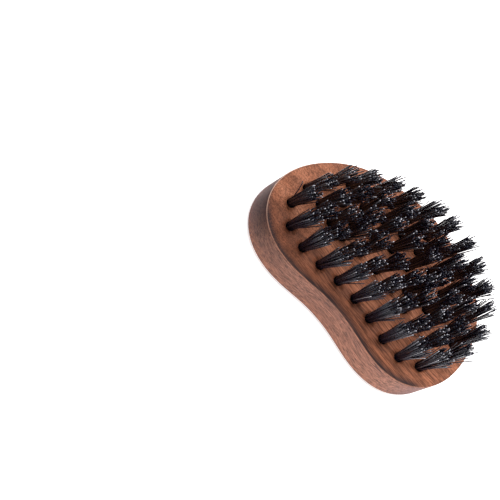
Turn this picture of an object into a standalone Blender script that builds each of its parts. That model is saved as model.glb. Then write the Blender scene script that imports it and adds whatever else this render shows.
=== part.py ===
"""Palm beard brush: a kidney-shaped walnut block with bristle tufts set in blind holes.

Row frame in metres: the brush lies on its flat back with the bristles up.
+Z points out of the bristle face, +X runs along the length and +Y points to the
convex side of the kidney. The origin is on the back, under the middle of the block.
"""

import math

import bmesh
import bpy

MM = 0.001

# Wooden block
BLOCK_THICKNESS = 17.5 * MM
BACK_EDGE_ROUND = 1.8 * MM
BACK_EDGE_SEGMENTS = 4
FACE_EDGE_ROUND = 0.5 * MM
FACE_EDGE_SEGMENTS = 2
OUTLINE_POINTS = 96
SHARP_ANGLE = math.radians(30)

# The outline's radius is this mean plus a few waves round the block.
# Each wave is (bends per turn, cosine part, sine part); angle 0 points along +Y.
MEAN_RADIUS = 35.2 * MM
OUTLINE_WAVES = (
    (2, -9.5 * MM, 1.5 * MM),  # longer than wide, and set a little askew
    (3, 2.8 * MM, 0.0),  # the hollow waist on the -Y side
    (4, 0.0, -0.5 * MM),  # one end a little fuller than the other
    (5, -0.5 * MM, 0.0),
    (6, 0.5 * MM, 0.0),
)

# Tuft holes and tufts
HOLE_RADIUS = 1.8 * MM
HOLE_DEPTH = 9.0 * MM
CLEARANCE = 0.3 * MM
TUFT_ROOT_RADIUS = HOLE_RADIUS - CLEARANCE
TUFT_TIP_RADIUS = 2.5 * MM
TUFT_HEIGHT = 18.5 * MM
TUFT_FLARE_START = 0.3 * MM
TIP_ROUND = 0.9 * MM
TIP_CROWN = 0.2 * MM
TUFT_SIDES = 12

# Each loop of tufts follows the outline: (name, distance inside it, tufts, start)
# where start is the first tuft's place, in tuft spacings clockwise from +Y.
TUFT_LOOPS = (
    ("outer", 7.4 * MM, 23, 0.2),
    ("middle", 14.0 * MM, 18, 0.45),
    ("inner", 21.0 * MM, 13, 0.55),
)
CORE_TUFT = (12.0 * MM, 0.6 * MM)
# The whole pattern is drilled this far off the middle of the block.
PATTERN_SHIFT = (0.7 * MM, 0.8 * MM)
LOOP_SAMPLES = 480
CROSSING_SHARE = 0.985

# Helpers
CUTTER_ABOVE_FACE = 1.0 * MM
SAME_PLACE = 0.01 * MM

WALNUT = (0.20, 0.082, 0.038, 1.0)
WALNUT_ROUGHNESS = 0.5
BRISTLE_BLACK = (0.012, 0.011, 0.013, 1.0)
BRISTLE_ROUGHNESS = 0.4


def clear_scene():
    for leftover in list(bpy.data.objects):
        bpy.data.objects.remove(leftover)


def new_collection(name):
    collection = bpy.data.collections.new(name)
    bpy.context.scene.collection.children.link(collection)
    return collection


def new_material(name, color, roughness):
    material = bpy.data.materials.new(name)
    material.use_nodes = True
    shader = material.node_tree.nodes["Principled BSDF"]
    shader.inputs["Base Color"].default_value = color
    shader.inputs["Roughness"].default_value = roughness
    shader.inputs["Metallic"].default_value = 0.0
    return material


def outline_radius(angle):
    """Distance from the middle of the kidney to its edge."""
    waves = (c * math.cos(n * angle) + s * math.sin(n * angle) for n, c, s in OUTLINE_WAVES)
    return MEAN_RADIUS + sum(waves)


def outline_loop(count):
    """Points clockwise round the edge, starting at +Y, with the origin in their middle."""
    angles = [math.tau * i / count for i in range(count)]
    loop = [(outline_radius(a) * math.sin(a), outline_radius(a) * math.cos(a)) for a in angles]
    xs, ys = zip(*loop)
    middle_x, middle_y = (min(xs) + max(xs)) / 2, (min(ys) + max(ys)) / 2
    return [(x - middle_x, y - middle_y) for x, y in loop]


def inset_loop(inside):
    """The edge moved inwards by a distance, without the points where it would cross itself.

    A moved point that lies closer to the edge than CROSSING_SHARE of the distance has crossed.
    """
    edge = outline_loop(LOOP_SAMPLES)
    inset = []
    for i, (x, y) in enumerate(edge):
        back, ahead = edge[i - 1], edge[(i + 1) % len(edge)]
        run_x, run_y = ahead[0] - back[0], ahead[1] - back[1]
        run = math.hypot(run_x, run_y)
        moved = (x + inside * run_y / run, y - inside * run_x / run)
        if min(math.dist(moved, point) for point in edge) > CROSSING_SHARE * inside:
            inset.append(moved)
    return inset


def evenly_spaced(loop, count, start):
    """Points at equal distances along a closed loop, the first one start spacings along."""
    closed = loop + loop[:1]
    lengths = [math.dist(a, b) for a, b in zip(closed, closed[1:])]
    spacing = sum(lengths) / count
    points = []
    for i in range(count):
        ahead = (start + i) * spacing
        for (ax, ay), (bx, by), length in zip(closed, closed[1:], lengths):
            if ahead <= length:
                share = ahead / length
                points.append((ax + share * (bx - ax), ay + share * (by - ay)))
                break
            ahead -= length
    return points


def tuft_places():
    """Name and x, y of every tuft."""
    shift_x, shift_y = PATTERN_SHIFT
    core_x, core_y = CORE_TUFT
    places = [("tuft_core", core_x + shift_x, core_y + shift_y)]
    for loop_name, inside, count, start in TUFT_LOOPS:
        spots = evenly_spaced(inset_loop(inside), count, start)
        for number, (x, y) in enumerate(spots, 1):
            places.append((f"tuft_{loop_name}_{number:02d}", x + shift_x, y + shift_y))
    return places


def block_mesh():
    """The solid block: the outline extruded, then both rims rounded."""
    bm = bmesh.new()
    ring = [bm.verts.new((x, y, 0.0)) for x, y in outline_loop(OUTLINE_POINTS)]
    face = bm.faces.new(ring)
    raised = bmesh.ops.extrude_face_region(bm, geom=[face])["geom"]
    top = [item for item in raised if isinstance(item, bmesh.types.BMVert)]
    bmesh.ops.translate(bm, vec=(0.0, 0.0, BLOCK_THICKNESS), verts=top)
    bmesh.ops.recalc_face_normals(bm, faces=bm.faces)
    for height, radius, segments in (
        (0.0, BACK_EDGE_ROUND, BACK_EDGE_SEGMENTS),
        (BLOCK_THICKNESS, FACE_EDGE_ROUND, FACE_EDGE_SEGMENTS),
    ):
        rim = [e for e in bm.edges if all(abs(v.co.z - height) < SAME_PLACE for v in e.verts)]
        bmesh.ops.bevel(bm, geom=rim, offset=radius, segments=segments, profile=0.5, affect="EDGES")
    mesh = bpy.data.meshes.new("wood_body")
    bm.to_mesh(mesh)
    bm.free()
    return mesh


def hole_cutter(places, helpers):
    """One helper object holding a cylinder for every blind hole."""
    bm = bmesh.new()
    middle_z = BLOCK_THICKNESS + (CUTTER_ABOVE_FACE - HOLE_DEPTH) / 2
    for _, x, y in places:
        made = bmesh.ops.create_cone(
            bm,
            cap_ends=True,
            segments=TUFT_SIDES,
            radius1=HOLE_RADIUS,
            radius2=HOLE_RADIUS,
            depth=HOLE_DEPTH + CUTTER_ABOVE_FACE,
        )
        bmesh.ops.translate(bm, vec=(x, y, middle_z), verts=made["verts"])
    mesh = bpy.data.meshes.new("tuft_holes")
    bm.to_mesh(mesh)
    bm.free()
    cutter = bpy.data.objects.new("tuft_holes", mesh)
    cutter.hide_render = True
    cutter.display_type = "WIRE"
    helpers.objects.link(cutter)
    return cutter


def add_wood_body(parts, helpers, places):
    mesh = block_mesh()
    mesh.materials.append(new_material("wood_body", WALNUT, WALNUT_ROUGHNESS))
    mesh.shade_smooth()
    mesh.set_sharp_from_angle(angle=SHARP_ANGLE)
    body = bpy.data.objects.new("wood_body", mesh)
    parts.objects.link(body)
    holes = body.modifiers.new("Blind holes", "BOOLEAN")
    holes.object = hole_cutter(places, helpers)
    return body


def tuft_profile_mesh():
    """Half outline of a tuft from tip to root, with z = 0 at the bristle face."""
    root_z = CLEARANCE - HOLE_DEPTH
    profile = (
        (0.0, TUFT_HEIGHT),
        (TUFT_TIP_RADIUS - TIP_ROUND, TUFT_HEIGHT - TIP_CROWN),
        (TUFT_TIP_RADIUS, TUFT_HEIGHT - TIP_ROUND),
        (TUFT_ROOT_RADIUS, TUFT_FLARE_START),
        (TUFT_ROOT_RADIUS, root_z),
        (0.0, root_z),
    )
    mesh = bpy.data.meshes.new("tuft_profile")
    edges = [(i, i + 1) for i in range(len(profile) - 1)]
    mesh.from_pydata([(x, 0.0, z) for x, z in profile], edges, [])
    mesh.materials.append(new_material("bristles", BRISTLE_BLACK, BRISTLE_ROUGHNESS))
    return mesh


def add_tuft(name, x, y, profile, parts):
    tuft = bpy.data.objects.new(name, profile)
    tuft.location = (x, y, BLOCK_THICKNESS)
    turn = tuft.modifiers.new("Turned", "SCREW")
    turn.steps = TUFT_SIDES
    turn.render_steps = TUFT_SIDES
    turn.use_merge_vertices = True
    turn.merge_threshold = SAME_PLACE
    turn.use_smooth_shade = True
    parts.objects.link(tuft)


def build_brush():
    clear_scene()
    parts = new_collection("beard_brush")
    helpers = new_collection("cutters")
    helpers.hide_render = True
    places = tuft_places()
    add_wood_body(parts, helpers, places)
    profile = tuft_profile_mesh()
    for name, x, y in places:
        add_tuft(name, x, y, profile, parts)


build_brush()
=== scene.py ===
import math
import random

import bmesh
import bpy
from mathutils import Matrix, Vector
from mathutils.geometry import delaunay_2d_cdt


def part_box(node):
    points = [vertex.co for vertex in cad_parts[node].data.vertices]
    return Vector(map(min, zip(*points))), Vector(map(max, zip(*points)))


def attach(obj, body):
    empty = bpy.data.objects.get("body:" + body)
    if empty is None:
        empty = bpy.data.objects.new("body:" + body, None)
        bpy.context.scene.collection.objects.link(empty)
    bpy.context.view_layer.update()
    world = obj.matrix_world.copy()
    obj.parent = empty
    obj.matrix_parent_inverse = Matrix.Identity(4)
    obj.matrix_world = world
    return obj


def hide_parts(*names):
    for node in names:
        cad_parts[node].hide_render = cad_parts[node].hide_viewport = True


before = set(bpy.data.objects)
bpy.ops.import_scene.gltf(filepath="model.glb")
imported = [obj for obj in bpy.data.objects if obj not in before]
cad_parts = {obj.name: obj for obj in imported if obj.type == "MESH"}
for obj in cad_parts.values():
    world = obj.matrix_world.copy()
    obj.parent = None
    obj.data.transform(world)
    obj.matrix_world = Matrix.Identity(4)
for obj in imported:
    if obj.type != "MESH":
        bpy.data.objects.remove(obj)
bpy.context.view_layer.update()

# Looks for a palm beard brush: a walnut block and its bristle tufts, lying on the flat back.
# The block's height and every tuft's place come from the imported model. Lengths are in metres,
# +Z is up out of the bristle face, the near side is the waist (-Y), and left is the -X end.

MM = 0.001

# The block's outline repeats the part's own rule: a mean radius plus a few waves, each
# (bends per turn, cosine part, sine part), with angle 0 along +Y.
MEAN_RADIUS = 35.2 * MM
OUTLINE_WAVES = (
    (2, -9.5 * MM, 1.5 * MM),
    (3, 2.8 * MM, 0.0),
    (4, 0.0, -0.5 * MM),
    (5, -0.5 * MM, 0.0),
    (6, 0.5 * MM, 0.0),
)
OUTLINE_POINTS = 480

# The block's section, from the rounded back edge up the wall to the shallow dish of the face
BACK_EDGE_ROUND = 1.8 * MM
BACK_EDGE_STEPS = 6
WALL_STEPS = 10
FACE_EDGE_ROUND = 0.35 * MM
FACE_EDGE_STEPS = 5
DISH_DEPTH = 0.45 * MM
DISH_WIDTH = 4.5 * MM
DISH_SHARES = (0.04, 0.08, 0.12, 0.18, 0.26, 0.34, 0.44, 0.50, 0.56, 0.64, 0.82, 1.0)
SHARP_ANGLE = math.radians(40)
SAME_PLACE = 0.002 * MM

# Holes
HOLE_RADIUS = 1.8 * MM
HOLE_DEPTH = 9.0 * MM
HOLE_CHAMFER = 0.18 * MM
HOLE_MOUTH = HOLE_RADIUS + HOLE_CHAMFER
HOLE_SIDES = 28
DRILL_POINT = 0.5 * HOLE_RADIUS

# Points that fill the flat of the face, kept off its rim and off the mouths of the holes.
# A triangle whose middle is within MOUTH_SHARE of a mouth's radius lies over that hole.
FACE_GRID = 1.6 * MM
GRID_TO_MOUTH = 0.4 * FACE_GRID
GRID_RIM_SHARE = 0.985
MOUTH_SHARE = 0.98
CDT_VALID_FACES = 1
CDT_EPSILON = 1e-9

# Colours of the rim. The edge is pale: a little wear all round, and a painted highlight, strongest at the
# left end. Just inside it runs a dark line, and along the waist a darker band of painted shade.
WEAR_ALL_ROUND = 0.15
HIGHLIGHT_AT_LEFT = 0.75
DARKENED_EDGE_STEPS = 2
LINE_ALL_ROUND = 0.30
LINE_AT_WAIST = 0.64
LINE_WIDTH_SHARE = 0.12
# The band along the waist is painted shade.
SHADE_BAND_AT_WAIST = 0.95
SHADE_BAND_WIDTH_SHARE = 0.75
# The waist is where the inward direction's Y part rises from this value over this range.
WAIST_FROM = 0.42
WAIST_RANGE = 0.40

# Walnut figures: (features a metre along X, Y and Z, detail, roughness of the noise)
BANDS = ((8.0, 120.0, 120.0), 3.0, 0.55)
STREAKS = ((110.0, 2600.0, 2600.0), 4.0, 0.65)
END_GRAIN = ((1700.0, 2300.0, 2300.0), 3.0, 0.60)
PORES = ((130.0, 2200.0, 2200.0), 1.0, 0.55)
FLECKS = ((380.0, 1350.0, 1350.0), 2.0, 0.55)
MOTTLE = ((300.0, 1500.0, 1500.0), 3.0, 0.70)
# The grain dives into the face from the first X to the second.
DIVE_FROM, DIVE_TO = -12.0 * MM, -32.0 * MM
SWAY_SCALE, SWAY_DETAIL = 38.0, 2.0
SWAY = (0.0, 3.0 * MM, 3.0 * MM)
# Where the heart of the log lies from the block, and how tight its rings are
PITH = (0.0, -0.055, -0.070)
RINGS_PER_METRE = 55.0
RING_DISTORTION, RING_DETAIL = 1.5, 2.0

# Walnut ramps: (value of the figure, the colour or the shade of grey that it gives)
BAND_COLORS = (
    (0.34, (0.175, 0.058, 0.029)),
    (0.50, (0.250, 0.087, 0.043)),
    (0.66, (0.325, 0.124, 0.066)),
)
GRAIN_TONES = ((0.38, 0.26), (0.48, 0.88), (0.60, 1.50))
RING_TONES = ((0.0, 1.08), (0.80, 0.94), (0.96, 0.72), (1.0, 0.98))
MOTTLE_TONES = ((0.36, 0.50), (0.50, 1.00), (0.64, 1.42))
PORE_COVER = ((0.60, 0.0), (0.66, 0.42))
PORE_RELIEF = ((0.0, 1.0), (0.80, 0.10))
FLECK_COVER = ((0.56, 0.0), (0.66, 0.85))
WOOD_ROUGHNESS = ((0.30, 0.70), (0.70, 0.52))
# How much of the face's look a surface has, by how far it faces up
FACE_SHARE = ((0.30, 0.0), (0.85, 1.0))
# How much of a figure shows, and the wall's painted shade with a cool painted reflection, by how far the
# surface faces an end
GRAIN_CONTRAST = ((0.55, 0.74), (0.95, 0.38))
MOTTLE_CONTRAST = ((0.45, 0.90), (0.90, 0.35))
END_SHADE_TINT = ((0.40, 1.0), (0.80, (0.66, 0.62, 0.76)))

# Walnut weights and colours
CONTRAST_WHERE_DIVING = 0.72
RING_CONTRAST = 0.90
FACE_MOTTLE = 0.45
# A paler colour mixed into the wall: a painted sheen
WALL_PAINTED_SHEEN = 0.34
PAINTED_SHEEN_COLOR = (0.440, 0.200, 0.145)
PORE_COLOR = (0.075, 0.028, 0.020)
FLECK_COLOR = (0.062, 0.026, 0.024)
# Pale edge colour: wear with a painted highlight
WORN_AND_HIGHLIGHT_COLOR = (0.720, 0.470, 0.370)
# Colour of the dark line inside the rim and of the painted shade along the waist
LINE_AND_SHADE_COLOR = (0.020, 0.008, 0.008)
# The dark line and the painted shade by the rim are deeper on open grain than on dense grain: the grain's
# range and their depth at its ends
SHADE_GRAIN = (0.36, 0.64)
SHADE_DEPTH = (1.20, 0.88)
WOOD_SPECULAR = 0.18
WOOD_BUMP = 0.40
WOOD_RELIEF = 0.12 * MM

# Bristle and wire looks. A strand's tone, 0 to 1, sets how pale it is painted: the pale strands are
# painted sheen lines.
# The grey end of this ramp is painted sheen.
BRISTLE_AND_SHEEN_COLORS = (
    (0.00, (0.003, 0.003, 0.012)),
    (0.58, (0.004, 0.004, 0.016)),
    (0.74, (0.030, 0.030, 0.044)),
    (1.00, (0.330, 0.322, 0.350)),
)
TIP_COLORS = ((0.76, (0.006, 0.006, 0.018)), (0.82, (0.12, 0.12, 0.14)), (1.0, (0.50, 0.49, 0.54)))
TIP_ROUGHNESS = 0.55
BRISTLE_SCALES = ((3000.0, 3000.0, 700.0), 3.0, 0.55)
BRISTLE_ROUGHNESS = ((0.30, 0.22), (0.70, 0.38))
BRISTLE_SPECULAR = 0.5
BRISTLE_GLOSS_TINT = (0.82, 0.88, 1.0)
BRISTLE_BUMP = 0.20
BRISTLE_RELIEF = 0.03 * MM
WIRE_SCRATCHES = ((400.0, 9000.0, 9000.0), 3.0, 0.55)
WIRE_ROUGHNESS = ((0.3, 0.28), (0.7, 0.50))
WIRE_COLORS = ((0.3, (0.40, 0.38, 0.34)), (0.7, (0.62, 0.60, 0.56)))

# Strands of a tuft
FIRST_SEED = 1000
STRANDS = 52
STRAND_SIDES = 5
STRAND_RADIUS = 0.20 * MM
STRAND_RADIUS_RANGE = (0.85, 1.15)
STRAND_TAPER = 0.12
# A strand has this share of its tone at the root, and gains this much up to the tip, a painted sheen that
# is paler towards the tips.
ROOT_TONE, TIP_SHEEN_GAIN = 0.68, 0.36
BLACK_SLOT, TIP_SLOT = 0, 1
# From each strand to the next, which spreads them evenly over the round of the tuft
GOLDEN_TURN = math.pi * (3 - math.sqrt(5))
TURN_JITTER = 0.15
BUNDLE_RADIUS = 1.5 * MM
FLARE_RADIUS = 3.0 * MM
FLARE_RANGE = (0.88, 1.12)
FLARE_CURVE = 1.12
SQUEEZE_RANGE = (0.86, 1.12)
# Strands start above the CAD tuft's root, clear of the anchor wire, and end near its top.
ROOT_LIFT = 2.0 * MM
TIPS_ABOVE_CAD = 0.5 * MM
# Where along its free length a strand has a point
PATH_SHARES = (0.0, 0.12, 0.30, 0.50, 0.70, 0.87)
# How far chance moves a whole tuft, its single tips, their bows and their cut ends
TUFT_LEAN_SPREAD = 0.35 * MM
TUFT_RISE_SPREAD = 0.35 * MM
TIP_SPREAD = 0.22 * MM
BOW_SPREAD = 0.09 * MM
CUT_SPREAD = 0.42 * MM
# Strands at a tuft's edge end a little lower, a few are short, and a few stand out sideways.
EDGE_DROP = 0.25 * MM
SHORT_CHANCE, SHORT_DROP = 0.09, (0.8 * MM, 3.2 * MM)
SPLAYED_CHANCE, SPLAY = 0.06, (0.6 * MM, 1.8 * MM)
PALE_LENGTH = (0.12 * MM, 0.34 * MM)
# How far the tips lean at the block's four corners; a tuft in between leans in between.
LEAN_NEAR_LEFT = Vector((1.0, -0.3)) * MM
LEAN_NEAR_RIGHT = Vector((-0.3, -0.6)) * MM
LEAN_FAR_LEFT = Vector((2.6, -2.0)) * MM
LEAN_FAR_RIGHT = Vector((-0.4, 3.6)) * MM
# One bristle has sprung out of this tuft and bends over sideways.
STRAY_TUFT = "tuft_outer_17"
STRAY_ROOT = Vector((-1.3, -0.4)) * MM
STRAY_BEND = Vector((-2.4, 4.6)) * MM
STRAY_HEIGHT = 8.0 * MM
STRAY_BURIED = 1.0 * MM
STRAY_STEPS = 8

# Anchor wires
ANCHOR_TO_WALLS = 0.1 * MM
ANCHOR_THICKNESS = 0.35 * MM
ANCHOR_HEIGHT = 1.3 * MM
ANCHOR_LIFT = 0.9 * MM
ANCHOR_ROUND = 0.08 * MM
ANCHOR_ROUND_STEPS = 2

# Camera, seen from the waist side, above and a little left
CAMERA_AIM = Vector((-33.4, -36.2, 17.5)) * MM
CAMERA_DISTANCE = 601.0 * MM
CAMERA_BEARING = math.radians(9.8)
CAMERA_HEIGHT_ANGLE = math.radians(63.4)
CAMERA_ROLL = math.radians(60.2)
CAMERA_LENS = 129.6
CAMERA_SENSOR = 36.0
CAMERA_CLIP_START = 0.01

# Table, surroundings and lights, each light (name, place from the middle of the face, power)
FLOOR_SIZE = 6.0
FLOOR_GAP = 0.05 * MM
FLOOR_COLOR = (0.86, 0.86, 0.86)
FLOOR_ROUGHNESS = 0.8
FLOOR_GLOW = 0.65
WHITE = (1.0, 1.0, 1.0)
WORLD_STRENGTH = 0.46
LIGHT_SIZE = 0.4
LIGHTS = (
    ("key", Vector((-0.02, 0.10, 0.90)), 10.0),
    ("fill", Vector((0.50, 0.40, 0.60)), 3.0),
)

# The dark card
CARD_SCALE = (0.055, 0.130, 1.0)
CARD_TURN = (0.0, math.radians(78), math.radians(36))
CARD_OUTWARD = 4.5 * MM
CARD_Y, CARD_Z = -28.5 * MM, 28.0 * MM
CARD_COLOR = (0.040, 0.045, 0.070)
CARD_ROUGHNESS = 0.6

WOOD_LOW, WOOD_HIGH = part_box("wood_body")
FACE_Z = WOOD_HIGH.z
PLATEAU_Z = FACE_Z - DISH_DEPTH
TUFT_NODES = sorted(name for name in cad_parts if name.startswith("tuft_"))


# ---------------------------------------------------------------- helpers

def link_object(name, data):
    obj = bpy.data.objects.new(name, data)
    bpy.context.scene.collection.objects.link(obj)
    return obj


def opaque(color):
    """A colour with full opacity; one number stands for grey."""
    if isinstance(color, float):
        color = (color, color, color)
    return (*color, 1.0)


def new_material(name):
    material = bpy.data.materials.new(name)
    material.use_nodes = True
    return material, material.node_tree, material.node_tree.nodes["Principled BSDF"]


def set_inputs(tree, node, inputs):
    """Each value is a socket to link from or a constant."""
    for key, value in inputs.items():
        if isinstance(value, bpy.types.NodeSocket):
            tree.links.new(value, node.inputs[key])
        else:
            node.inputs[key].default_value = value


def add_node(tree, kind, inputs=None, **settings):
    node = tree.nodes.new(kind)
    for key, value in settings.items():
        setattr(node, key, value)
    set_inputs(tree, node, inputs or {})
    return node


def ramp(tree, factor, stops):
    """A colour ramp whose stops are (position, colour)."""
    node = add_node(tree, "ShaderNodeValToRGB", {"Fac": factor})
    elements = node.color_ramp.elements
    while len(elements) < len(stops):
        elements.new(0.5)  # its own position follows below
    for element, (position, color) in zip(elements, stops):
        element.position = position
        element.color = opaque(color)
    return node.outputs["Color"]


def mix_color(tree, blend, factor, first, second):
    """Blends the second colour into the first; each of the three is a socket or a value."""
    first, second = (c if isinstance(c, bpy.types.NodeSocket) else opaque(c) for c in (first, second))
    # A Mix node's colours go into its inputs 6 and 7 and come out of its output 2.
    inputs = {0: factor, 6: first, 7: second}
    return add_node(tree, "ShaderNodeMix", inputs, data_type="RGBA", blend_type=blend).outputs[2]


def math_node(tree, operation, *values):
    inputs = dict(enumerate(values))
    return add_node(tree, "ShaderNodeMath", inputs, operation=operation).outputs[0]


def attribute(tree, name):
    return add_node(tree, "ShaderNodeAttribute", attribute_name=name).outputs["Fac"]


def object_place(tree):
    return add_node(tree, "ShaderNodeTexCoord").outputs["Object"]


def figure(tree, vector, spec):
    """Noise with its own number of features a metre along X, Y and Z."""
    per_metre, detail, roughness = spec
    scaled = add_node(tree, "ShaderNodeMapping", {"Vector": vector, "Scale": per_metre}).outputs["Vector"]
    inputs = {"Vector": scaled, "Scale": 1.0, "Detail": detail, "Roughness": roughness}
    return add_node(tree, "ShaderNodeTexNoise", inputs).outputs["Fac"]


def bump(tree, strength, distance, height):
    inputs = {"Strength": strength, "Distance": distance, "Height": height}
    return add_node(tree, "ShaderNodeBump", inputs).outputs["Normal"]


# ---------------------------------------------------------------- materials

def grain_dive(tree, place):
    """0 where the grain runs along the face, 1 where it dives into it, at the -X end."""
    along = add_node(tree, "ShaderNodeSeparateXYZ", {0: place}).outputs["X"]
    inputs = {"Value": along, "From Min": DIVE_FROM, "From Max": DIVE_TO, "To Min": 0.0, "To Max": 1.0}
    return add_node(tree, "ShaderNodeMapRange", inputs, interpolation_type="SMOOTHSTEP").outputs["Result"]


def swaying(tree, place):
    """The place moved a little to and fro across the grain, so that figures aren't ruled lines."""
    noise = {"Vector": place, "Scale": SWAY_SCALE, "Detail": SWAY_DETAIL}
    sway = add_node(tree, "ShaderNodeTexNoise", noise).outputs["Color"]
    inputs = {0: sway, 1: SWAY, 2: place}
    return add_node(tree, "ShaderNodeVectorMath", inputs, operation="MULTIPLY_ADD").outputs["Vector"]


def ring_tone(tree, swayed):
    """Growth rings round the pith, each with a dark late edge."""
    inputs = {0: swayed, 1: PITH}
    from_pith = add_node(tree, "ShaderNodeVectorMath", inputs, operation="SUBTRACT").outputs["Vector"]
    rings = add_node(
        tree,
        "ShaderNodeTexWave",
        {
            "Vector": from_pith,
            "Scale": RINGS_PER_METRE,
            "Distortion": RING_DISTORTION,
            "Detail": RING_DETAIL,
        },
        wave_type="RINGS",
        rings_direction="X",
        wave_profile="SAW",
    )
    return ramp(tree, rings.outputs["Fac"], RING_TONES)


def wall_color(tree, wood, place, mottle_tone, endwise):
    """The wood made paler by a painted sheen, and flecked; towards the ends, painted shade with a cool
    painted reflection.
    """
    contrast = ramp(tree, endwise, MOTTLE_CONTRAST)
    # Mixed toward a paler colour: a painted sheen.
    wall = mix_color(tree, "MIX", WALL_PAINTED_SHEEN, wood, PAINTED_SHEEN_COLOR)
    wall = mix_color(tree, "MULTIPLY", contrast, wall, mottle_tone)
    fleck_cover = ramp(tree, figure(tree, place, FLECKS), FLECK_COVER)
    fleck_cover = mix_color(tree, "MULTIPLY", 1.0, fleck_cover, contrast)
    wall = mix_color(tree, "MIX", fleck_cover, wall, FLECK_COLOR)
    # Towards the ends the wall is darker and cooler: painted shade and a painted cool reflection.
    return mix_color(tree, "MULTIPLY", 1.0, wall, ramp(tree, endwise, END_SHADE_TINT))


def rim_wear_and_painted_light(tree, color, grain):
    """Adds the pale edge, wear with a painted highlight, and inside it the dark line and the painted
    shade, as the block's points carry them.
    """
    # Pale edge: wear and a painted highlight.
    color = mix_color(tree, "MIX", attribute(tree, "rim_wear_and_highlight"), color, WORN_AND_HIGHLIGHT_COLOR)
    depth_by_grain = add_node(
        tree,
        "ShaderNodeMapRange",
        {
            "Value": grain,
            "From Min": SHADE_GRAIN[0],
            "From Max": SHADE_GRAIN[1],
            "To Min": SHADE_DEPTH[0],
            "To Max": SHADE_DEPTH[1],
        },
    ).outputs["Result"]
    # Dark line and painted shade inside the rim.
    inputs = {0: attribute(tree, "rim_line_and_shade"), 1: depth_by_grain}
    line_and_shade = add_node(tree, "ShaderNodeMath", inputs, operation="MULTIPLY", use_clamp=True).outputs[0]
    return mix_color(tree, "MIX", line_and_shade, color, LINE_AND_SHADE_COLOR)


def walnut_material():
    """Oiled walnut, grain along X: growth rings, fine streaks, open pores and small flecks.

    Where the grain dives into the face, the streaks shorten to speckles and the pores stop.
    """
    material, tree, shader = new_material("walnut")
    place = object_place(tree)
    swayed = swaying(tree, place)
    diving = grain_dive(tree, place)
    normal = add_node(tree, "ShaderNodeNewGeometry").outputs["Normal"]
    facing = add_node(tree, "ShaderNodeSeparateXYZ", {0: normal}).outputs
    endwise = math_node(tree, "ABSOLUTE", facing["X"])

    grain = mix_color(tree, "MIX", diving, figure(tree, swayed, STREAKS), figure(tree, place, END_GRAIN))
    contrast = ramp(tree, endwise, GRAIN_CONTRAST)
    calmer = mix_color(tree, "MIX", diving, 1.0, CONTRAST_WHERE_DIVING)
    contrast = mix_color(tree, "MULTIPLY", 1.0, contrast, calmer)
    wood = ramp(tree, figure(tree, swayed, BANDS), BAND_COLORS)
    wood = mix_color(tree, "MULTIPLY", contrast, wood, ramp(tree, grain, GRAIN_TONES))
    wood = mix_color(tree, "MULTIPLY", RING_CONTRAST, wood, ring_tone(tree, swayed))
    pore_cover = ramp(tree, figure(tree, swayed, PORES), PORE_COVER)
    pore_cover = mix_color(tree, "MULTIPLY", 1.0, pore_cover, math_node(tree, "SUBTRACT", 1.0, diving))
    wood = mix_color(tree, "MIX", pore_cover, wood, PORE_COLOR)

    mottle_tone = ramp(tree, figure(tree, swayed, MOTTLE), MOTTLE_TONES)
    face = mix_color(tree, "MULTIPLY", FACE_MOTTLE, wood, mottle_tone)
    wall = wall_color(tree, wood, place, mottle_tone, endwise)
    color = mix_color(tree, "MIX", ramp(tree, facing["Z"], FACE_SHARE), wall, face)
    relief = mix_color(tree, "MULTIPLY", 1.0, grain, ramp(tree, pore_cover, PORE_RELIEF))
    looks = {
        "Base Color": rim_wear_and_painted_light(tree, color, grain),
        "Roughness": ramp(tree, grain, WOOD_ROUGHNESS),
        "Specular IOR Level": WOOD_SPECULAR,
        "Normal": bump(tree, WOOD_BUMP, WOOD_RELIEF, relief),
    }
    set_inputs(tree, shader, looks)
    return material


def bristle_material():
    """Black dyed bristle: each strand its own depth of black, the paler strands and their paler tops a
    painted sheen, with fine scaly roughness.
    """
    material, tree, shader = new_material("bristle")
    scales = figure(tree, object_place(tree), BRISTLE_SCALES)
    looks = {
        "Base Color": ramp(tree, attribute(tree, "strand_tone_and_sheen"), BRISTLE_AND_SHEEN_COLORS),
        "Roughness": ramp(tree, scales, BRISTLE_ROUGHNESS),
        "Specular IOR Level": BRISTLE_SPECULAR,
        "Specular Tint": opaque(BRISTLE_GLOSS_TINT),
        "Normal": bump(tree, BRISTLE_BUMP, BRISTLE_RELIEF, scales),
    }
    set_inputs(tree, shader, looks)
    return material


def tip_material():
    """The cut end of a bristle: some of them are pale."""
    material, tree, shader = new_material("bristle_tip")
    color = ramp(tree, attribute(tree, "strand_tone_and_sheen"), TIP_COLORS)
    set_inputs(tree, shader, {"Base Color": color, "Roughness": TIP_ROUGHNESS})
    return material


def wire_material():
    """Drawn steel wire with fine lengthwise scratches."""
    material, tree, shader = new_material("anchor_wire")
    drawn = figure(tree, object_place(tree), WIRE_SCRATCHES)
    looks = {
        "Base Color": ramp(tree, drawn, WIRE_COLORS),
        "Roughness": ramp(tree, drawn, WIRE_ROUGHNESS),
        "Metallic": 1.0,
    }
    set_inputs(tree, shader, looks)
    return material


def stage_material(name, color, roughness, glow=0.0):
    """One even colour, which may also glow white."""
    material, tree, shader = new_material(name)
    looks = {"Base Color": opaque(color), "Roughness": roughness}
    if glow:
        looks |= {"Emission Color": opaque(WHITE), "Emission Strength": glow}
    set_inputs(tree, shader, looks)
    return material


# ---------------------------------------------------------------- the wooden block

def outline_radius(angle):
    """Distance from the middle of the kidney to its edge."""
    waves = (c * math.cos(n * angle) + s * math.sin(n * angle) for n, c, s in OUTLINE_WAVES)
    return MEAN_RADIUS + sum(waves)


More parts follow.
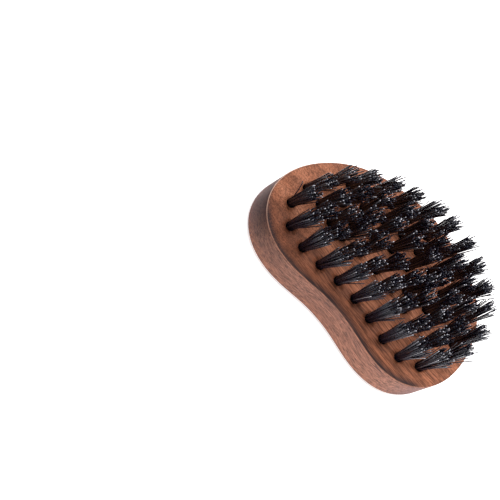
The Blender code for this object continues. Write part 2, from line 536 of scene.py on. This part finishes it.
def outline_loop(count):
    """Points clockwise round the edge, starting at +Y, with the origin in their middle."""
    angles = [math.tau * i / count for i in range(count)]
    loop = [(outline_radius(a) * math.sin(a), outline_radius(a) * math.cos(a)) for a in angles]
    xs, ys = zip(*loop)
    middle = Vector(((min(xs) + max(xs)) / 2, (min(ys) + max(ys)) / 2))
    return [Vector(point) - middle for point in loop]


def inward_normals(loop):
    normals = []
    for i in range(len(loop)):
        run = loop[(i + 1) % len(loop)] - loop[i - 1]
        normals.append(Vector((run.y, -run.x)).normalized())
    return normals


def inside_loop(spot, loop):
    """Whether a line from the spot along +X crosses the loop an odd number of times."""
    inside = False
    for a, b in zip(loop, loop[1:] + loop[:1]):
        if (a.y > spot.y) != (b.y > spot.y):
            if spot.x < a.x + (spot.y - a.y) * (b.x - a.x) / (b.y - a.y):
                inside = not inside
    return inside


def smooth(t):
    """Eases from 0 to 1; t is held to that range."""
    t = min(1.0, max(0.0, t))
    return t * t * (3 - 2 * t)


def block_profile():
    """(distance inside the edge, height, wear with painted highlight, line, band of painted shade) from
    the back, up the wall, to the face.
    """
    rows = []
    for step in range(BACK_EDGE_STEPS + 1):
        turn = math.pi / 2 * step / BACK_EDGE_STEPS
        inside = BACK_EDGE_ROUND * (1 - math.sin(turn))
        rows.append((inside, BACK_EDGE_ROUND * (1 - math.cos(turn)), 0.0, 0.0, 0.0))
    wall_top = FACE_Z - FACE_EDGE_ROUND
    for step in range(1, WALL_STEPS):
        height = BACK_EDGE_ROUND + step / WALL_STEPS * (wall_top - BACK_EDGE_ROUND)
        rows.append((0.0, height, 0.0, 0.0, 0.0))
    for step in range(FACE_EDGE_STEPS + 1):
        turn = math.pi / 2 * step / FACE_EDGE_STEPS
        inside = FACE_EDGE_ROUND * (1 - math.cos(turn))
        height = wall_top + FACE_EDGE_ROUND * math.sin(turn)
        darkened = max(0.0, step - (FACE_EDGE_STEPS - DARKENED_EDGE_STEPS)) / DARKENED_EDGE_STEPS
        rows.append((inside, height, math.sin(2 * turn), darkened, darkened))
    for share in DISH_SHARES:
        inside = FACE_EDGE_ROUND + share * DISH_WIDTH
        height = FACE_Z - DISH_DEPTH * smooth(share)
        line = max(0.0, 1.0 - share / LINE_WIDTH_SHARE)
        band = 1.0 - smooth(share / SHADE_BAND_WIDTH_SHARE)
        rows.append((inside, height, 0.0, line, band))
    return rows


def circle(centre, radius, sides):
    angles = [math.tau * i / sides for i in range(sides)]
    return [centre + Vector((radius * math.cos(a), radius * math.sin(a))) for a in angles]


def face_grid(rim, centres):
    """Staggered points over the flat of the face, clear of its rim and of the holes."""
    columns = math.ceil(WOOD_HIGH.x / FACE_GRID)
    rows = math.ceil(WOOD_HIGH.y / FACE_GRID)
    inner_rim = [point * GRID_RIM_SHARE for point in rim]
    spots = []
    for column in range(-columns, columns + 1):
        for row in range(-rows, rows + 1):
            spot = Vector((column * FACE_GRID, (row + 0.5 * (column % 2)) * FACE_GRID))
            clear = all((spot - c).length > HOLE_MOUTH + GRID_TO_MOUTH for c in centres)
            if clear and inside_loop(spot, inner_rim):
                spots.append(spot)
    return spots


def add_face_plateau(bm, rim, centres):
    """The flat of the face, triangulated between the rim and the mouths of the holes."""
    points = list(rim)
    edges = [(i, (i + 1) % len(rim)) for i in range(len(rim))]
    for centre in centres:
        first = len(points)
        points += circle(centre, HOLE_MOUTH, HOLE_SIDES)
        edges += [(first + i, first + (i + 1) % HOLE_SIDES) for i in range(HOLE_SIDES)]
    points += face_grid(rim, centres)
    flat, _, triangles, _, _, _ = delaunay_2d_cdt(points, edges, [], CDT_VALID_FACES, CDT_EPSILON)
    verts = [bm.verts.new((p.x, p.y, PLATEAU_Z)) for p in flat]
    for triangle in triangles:
        middle = sum((flat[i] for i in triangle), Vector((0.0, 0.0))) / 3
        in_wood = all((middle - c).length > HOLE_MOUTH * MOUTH_SHARE for c in centres)
        if in_wood and inside_loop(middle, rim):
            bm.faces.new([verts[i] for i in triangle])


def add_hole(bm, centre):
    """A drilled hole: chamfered mouth, straight wall and the drill's cone at the bottom."""
    bottom = FACE_Z - HOLE_DEPTH
    rings = []
    for radius, height in (
        (HOLE_MOUTH, PLATEAU_Z),
        (HOLE_RADIUS, PLATEAU_Z - HOLE_CHAMFER),
        (HOLE_RADIUS, (PLATEAU_Z + bottom) / 2),
        (HOLE_RADIUS, bottom),
    ):
        rings.append([bm.verts.new((p.x, p.y, height)) for p in circle(centre, radius, HOLE_SIDES)])
    for upper, lower in zip(rings, rings[1:]):
        for i in range(HOLE_SIDES):
            j = (i + 1) % HOLE_SIDES
            bm.faces.new((upper[i], upper[j], lower[j], lower[i]))
    point = bm.verts.new((centre.x, centre.y, bottom - DRILL_POINT))
    for i in range(HOLE_SIDES):
        bm.faces.new((rings[-1][i], rings[-1][(i + 1) % HOLE_SIDES], point))


def add_rings(bm):
    """The block's skin from its back to the flat of the face, whose ring it returns."""
    loop = outline_loop(OUTLINE_POINTS)
    normals = inward_normals(loop)
    wear_and_highlight = bm.verts.layers.float.new("rim_wear_and_highlight")
    line_and_shade = bm.verts.layers.float.new("rim_line_and_shade")
    rings = []
    for inside, height, pale_edge, line, band in block_profile():
        ring = []
        for point, normal in zip(loop, normals):
            moved = point + inside * normal
            vert = bm.verts.new((moved.x, moved.y, height))
            # The pale edge: a little wear all round plus a painted highlight, strongest at the left end.
            vert[wear_and_highlight] = pale_edge * (WEAR_ALL_ROUND + HIGHLIGHT_AT_LEFT * max(0.0, normal.x) ** 2)
            # The dark line inside the rim and, along the waist, a band of painted shade.
            waist = smooth((normal.y - WAIST_FROM) / WAIST_RANGE)
            line_here = (LINE_ALL_ROUND + LINE_AT_WAIST * waist) * line
            vert[line_and_shade] = max(line_here, SHADE_BAND_AT_WAIST * band * waist)
            ring.append(vert)
        rings.append(ring)
    for lower, upper in zip(rings, rings[1:]):
        for i in range(OUTLINE_POINTS):
            j = (i + 1) % OUTLINE_POINTS
            bm.faces.new((lower[j], lower[i], upper[i], upper[j]))
    bm.faces.new(rings[0])
    return rings[-1]


def make_block(centres):
    bm = bmesh.new()
    last_ring = add_rings(bm)
    add_face_plateau(bm, [vert.co.xy for vert in last_ring], centres)
    for centre in centres:
        add_hole(bm, centre)
    bmesh.ops.remove_doubles(bm, verts=bm.verts, dist=SAME_PLACE)
    bmesh.ops.recalc_face_normals(bm, faces=bm.faces)
    mesh = bpy.data.meshes.new("walnut_block")
    bm.to_mesh(mesh)
    bm.free()
    mesh.shade_smooth()
    mesh.set_sharp_from_angle(angle=SHARP_ANGLE)
    return link_object("walnut_block", mesh)


# ---------------------------------------------------------------- bristles

def tuft_centres():
    centres = {}
    for name in TUFT_NODES:
        low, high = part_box(name)
        centres[name] = Vector(((low.x + high.x) / 2, (low.y + high.y) / 2))
    return centres


def scatter(rng, spread):
    """A random offset with this standard deviation along X and along Y."""
    return Vector((rng.gauss(0, spread), rng.gauss(0, spread)))


def lean_at(centre):
    """How far the tips of a tuft at this place lean."""
    rightward = centre.x / (2 * WOOD_HIGH.x) + 0.5
    farther = centre.y / (2 * WOOD_HIGH.y) + 0.5
    near_lean = LEAN_NEAR_LEFT.lerp(LEAN_NEAR_RIGHT, rightward)
    far_lean = LEAN_FAR_LEFT.lerp(LEAN_FAR_RIGHT, rightward)
    return near_lean.lerp(far_lean, farther)


class TuftMesh:
    """The strands of one tuft, gathered for one mesh."""

    def __init__(self):
        self.verts = []
        self.faces = []
        self.slots = []
        self.tones = []

    def add_strand(self, path, radius, tone, pale_rows):
        """A closed tube along the path. Its last pale_rows and its cut end are the pale tip."""
        first = len(self.verts)
        last_row = len(path) - 1
        for row, (x, y, z) in enumerate(path):
            share = row / last_row
            thin = radius * (1.0 - STRAND_TAPER * share)
            for side in range(STRAND_SIDES):
                turn = math.tau * side / STRAND_SIDES
                self.verts.append((x + thin * math.cos(turn), y + thin * math.sin(turn), z))
                # Paler towards the tip: a painted sheen.
                self.tones.append(tone * (ROOT_TONE + TIP_SHEEN_GAIN * share))
        for row in range(last_row):
            slot = TIP_SLOT if row >= last_row - pale_rows else BLACK_SLOT
            for side in range(STRAND_SIDES):
                a = first + row * STRAND_SIDES + side
                b = first + row * STRAND_SIDES + (side + 1) % STRAND_SIDES
                self.add_face((a, b, b + STRAND_SIDES, a + STRAND_SIDES), slot)
        top = first + last_row * STRAND_SIDES
        self.add_face([first + side for side in reversed(range(STRAND_SIDES))], BLACK_SLOT)
        self.add_face([top + side for side in range(STRAND_SIDES)], TIP_SLOT)

    def add_face(self, corners, slot):
        self.faces.append(corners)
        self.slots.append(slot)

    def to_mesh(self, name, materials):
        mesh = bpy.data.meshes.new(name)
        mesh.from_pydata(self.verts, [], self.faces)
        mesh.shade_smooth()
        mesh.polygons.foreach_set("material_index", self.slots)
        mesh.attributes.new("strand_tone_and_sheen", "FLOAT", "POINT").data.foreach_set("value", self.tones)
        for material in materials:
            mesh.materials.append(material)
        return mesh


def strand_path(root, tip, root_z, tip_z, bow, pale):
    """Straight in the hole, then opening out and bowing a little up to the tip."""
    path = [(root.x, root.y, root_z)]
    length = tip_z - PLATEAU_Z
    for share in (*PATH_SHARES, 1.0 - pale / length, 1.0):
        spot = root.lerp(tip, share**FLARE_CURVE) + bow * math.sin(math.pi * share)
        path.append((spot.x, spot.y, PLATEAU_Z + share * length))
    return path


def stray_path(centre):
    """Up out of the edge of the tuft, then bending over sideways."""
    root = centre + STRAY_ROOT
    path = [(root.x, root.y, PLATEAU_Z - STRAY_BURIED)]
    for step in range(STRAY_STEPS + 1):
        turn = math.pi / 2 * step / STRAY_STEPS
        spot = root + STRAY_BEND * (1 - math.cos(turn))
        path.append((spot.x, spot.y, PLATEAU_Z + STRAY_HEIGHT * math.sin(turn)))
    return path


def make_tuft(name, number, centre, materials):
    low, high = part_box(name)
    rng = random.Random(FIRST_SEED + number)
    lean = scatter(rng, TUFT_LEAN_SPREAD) + lean_at(centre)
    squeeze = rng.uniform(*SQUEEZE_RANGE)
    squeeze_turn = rng.uniform(0, math.pi)
    reach = FLARE_RADIUS * rng.uniform(*FLARE_RANGE)
    tuft_top = high.z + rng.gauss(0, TUFT_RISE_SPREAD) + TIPS_ABOVE_CAD
    tuft = TuftMesh()
    for i in range(STRANDS):
        share = math.sqrt((i + 0.5) / STRANDS)
        turn = i * GOLDEN_TURN + rng.uniform(-TURN_JITTER, TURN_JITTER)
        spoke = Vector((math.cos(turn), math.sin(turn)))
        root = centre + spoke * share * BUNDLE_RADIUS
        near_squeeze_axis = math.cos(turn - squeeze_turn) ** 2 > 0.5
        out = share * reach * (squeeze if near_squeeze_axis else 1 / squeeze)
        tip = centre + spoke * out + lean + scatter(rng, TIP_SPREAD)
        drop = EDGE_DROP * share**2 + abs(rng.gauss(0, CUT_SPREAD))
        if rng.random() < SHORT_CHANCE:
            drop += rng.uniform(*SHORT_DROP)
        if rng.random() < SPLAYED_CHANCE:
            tip += spoke * rng.uniform(*SPLAY)
        bow = scatter(rng, BOW_SPREAD)
        pale = rng.uniform(*PALE_LENGTH)
        path = strand_path(root, tip, low.z + ROOT_LIFT, tuft_top - drop, bow, pale)
        radius = STRAND_RADIUS * rng.uniform(*STRAND_RADIUS_RANGE)
        tuft.add_strand(path, radius, rng.random(), pale_rows=1)
    if name == STRAY_TUFT:
        tuft.add_strand(stray_path(centre), STRAND_RADIUS, tone=0.0, pale_rows=0)
    return link_object(name.replace("tuft", "bristles"), tuft.to_mesh(name, materials))


def make_anchors(centres):
    """A short flat wire across the bottom of every hole, over which the tuft is folded."""
    bm = bmesh.new()
    size = (2 * HOLE_RADIUS - ANCHOR_TO_WALLS, ANCHOR_THICKNESS, ANCHOR_HEIGHT)
    height = FACE_Z - HOLE_DEPTH + ANCHOR_LIFT
    for centre in centres:
        made = bmesh.ops.create_cube(bm, size=1.0)["verts"]
        bmesh.ops.scale(bm, vec=size, verts=made)
        bmesh.ops.translate(bm, vec=(centre.x, centre.y, height), verts=made)
    bmesh.ops.bevel(
        bm,
        geom=list(bm.edges),
        offset=ANCHOR_ROUND,
        segments=ANCHOR_ROUND_STEPS,
        affect="EDGES",
    )
    mesh = bpy.data.meshes.new("anchor_wires")
    bm.to_mesh(mesh)
    bm.free()
    return link_object("anchor_wires", mesh)


# ---------------------------------------------------------------- studio

def add_camera():
    data = bpy.data.cameras.new("camera")
    data.lens = CAMERA_LENS
    data.sensor_width = CAMERA_SENSOR
    data.clip_start = CAMERA_CLIP_START
    camera = link_object("camera", data)
    level = math.cos(CAMERA_HEIGHT_ANGLE)
    ahead = Vector(
        (
            level * math.sin(CAMERA_BEARING),
            level * math.cos(CAMERA_BEARING),
            -math.sin(CAMERA_HEIGHT_ANGLE),
        )
    )
    turn = ahead.to_track_quat("-Z", "Y").to_matrix() @ Matrix.Rotation(CAMERA_ROLL, 3, "Z")
    camera.matrix_world = Matrix.Translation(CAMERA_AIM - ahead * CAMERA_DISTANCE) @ turn.to_4x4()
    bpy.context.scene.camera = camera


def add_area_light(name, spot, aim, power):
    data = bpy.data.lights.new(name, "AREA")
    data.size = LIGHT_SIZE
    data.energy = power
    lamp = link_object(name, data)
    lamp.location = spot
    lamp.rotation_euler = (aim - spot).to_track_quat("-Z", "Y").to_euler()


def add_floor():
    place = (0.0, 0.0, WOOD_LOW.z - FLOOR_GAP)
    bpy.ops.mesh.primitive_plane_add(size=FLOOR_SIZE, location=place)
    floor = bpy.context.object
    floor.name = "floor"
    material = stage_material("white_table", FLOOR_COLOR, FLOOR_ROUGHNESS, FLOOR_GLOW)
    floor.data.materials.append(material)


def add_black_card():
    """A dark card beyond the -X end, hidden from the camera, so that end stays dim."""
    bpy.ops.mesh.primitive_plane_add(size=1.0)
    card = bpy.context.object
    card.name = "black_card"
    card.scale = CARD_SCALE
    card.rotation_euler = CARD_TURN
    card.location = (WOOD_LOW.x - CARD_OUTWARD, CARD_Y, CARD_Z)
    card.visible_camera = False
    card.visible_shadow = False
    card.data.materials.append(stage_material("black_card", CARD_COLOR, CARD_ROUGHNESS))


def add_studio():
    """White table, even white surroundings, two large soft lights and the dark card."""
    add_floor()
    world = bpy.data.worlds.new("surroundings")
    world.use_nodes = True
    background = world.node_tree.nodes["Background"]
    set_inputs(world.node_tree, background, {"Color": opaque(WHITE), "Strength": WORLD_STRENGTH})
    bpy.context.scene.world = world
    middle = Vector((0.0, 0.0, FACE_Z))
    for name, offset, power in LIGHTS:
        add_area_light(name, middle + offset, middle, power)
    add_black_card()
    bpy.context.scene.view_settings.view_transform = "Standard"


# ---------------------------------------------------------------- the whole scene


def build():
    add_camera()
    add_studio()
    centres = tuft_centres()
    block = make_block(list(centres.values()))
    block.data.materials.append(walnut_material())
    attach(block, "root")
    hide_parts("wood_body")
    materials = (bristle_material(), tip_material())
    for number, name in enumerate(TUFT_NODES):
        tuft = make_tuft(name, number, centres[name], materials)
        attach(tuft, "root")
        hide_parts(name)
    anchors = make_anchors(list(centres.values()))
    anchors.data.materials.append(wire_material())
    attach(anchors, "root")


build()
